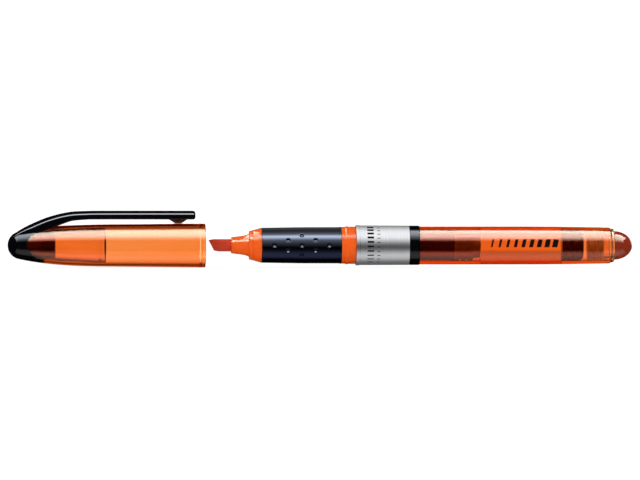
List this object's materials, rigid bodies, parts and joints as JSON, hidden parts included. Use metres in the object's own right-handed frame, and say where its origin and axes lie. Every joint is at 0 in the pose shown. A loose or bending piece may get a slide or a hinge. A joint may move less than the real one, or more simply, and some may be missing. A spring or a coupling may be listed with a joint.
{
  "type": "capped highlighter",
  "caption": "Pen-format liquid-ink highlighter in clear plastic with a chisel nib, dimpled soft grip and a pull-off cap with a springy clip.",
  "frame": {"origin": "on the pen's axis, in the middle of the barrel's straight stretch", "axes": "+X along the pen from the nib to the rear dome, +Z towards the cap's clip"},
  "size_m": [0.1848, 0.013, 0.0167],
  "materials": {
    "clear_orange": "clear tinted moulding, glossy",
    "black_gloss": "glossy black moulding",
    "black_plastic": "satin black moulding",
    "grip_rubber": "soft black grip with a smooth sheen",
    "silver_sleeve": "metallised satin silver",
    "nib_fibre": "pressed fibre soaked in ink",
    "wick_fibre": "bundled fibre soaked in ink",
    "ink": "clear orange liquid",
    "dark_plastic": "dark moulding, stained by ink",
    "stopper_rubber": "dark rubber"
  },
  "bodies": {
    "pen": {"nib": "nib_fibre", "nib_guide": "clear_orange", "front_section": "clear_orange", "grip_sleeve": "grip_rubber", "trim_sleeve": "silver_sleeve", "joint_ring": "black_plastic", "barrel": "clear_orange", "ink_wick": "wick_fibre", "ink_collector": "dark_plastic", "tank_divider": "dark_plastic", "ink_fill": "ink", "tank_stopper": "stopper_rubber", "seal_plug": "dark_plastic", "end_plug": "clear_orange"},
    "cap": {"cap_tube": "clear_orange", "inner_cap": "clear_orange", "cap_nose": "black_gloss"},
    "clip": {"clip": "black_gloss"}
  },
  "joints": [
    {"name": "cap_slide", "type": "slide", "parent": "pen", "child": "cap", "axis": [1, 0, 0], "range_m": [0, 0.04446]},
    {"name": "clip_flex", "type": "hinge", "parent": "cap", "child": "clip", "pos_m": [-0.1276, 0, 0.0066], "axis": [0, -1, 0], "range_deg": [0, 5], "stiffness_Nm_per_rad": 0.6}
  ]
}
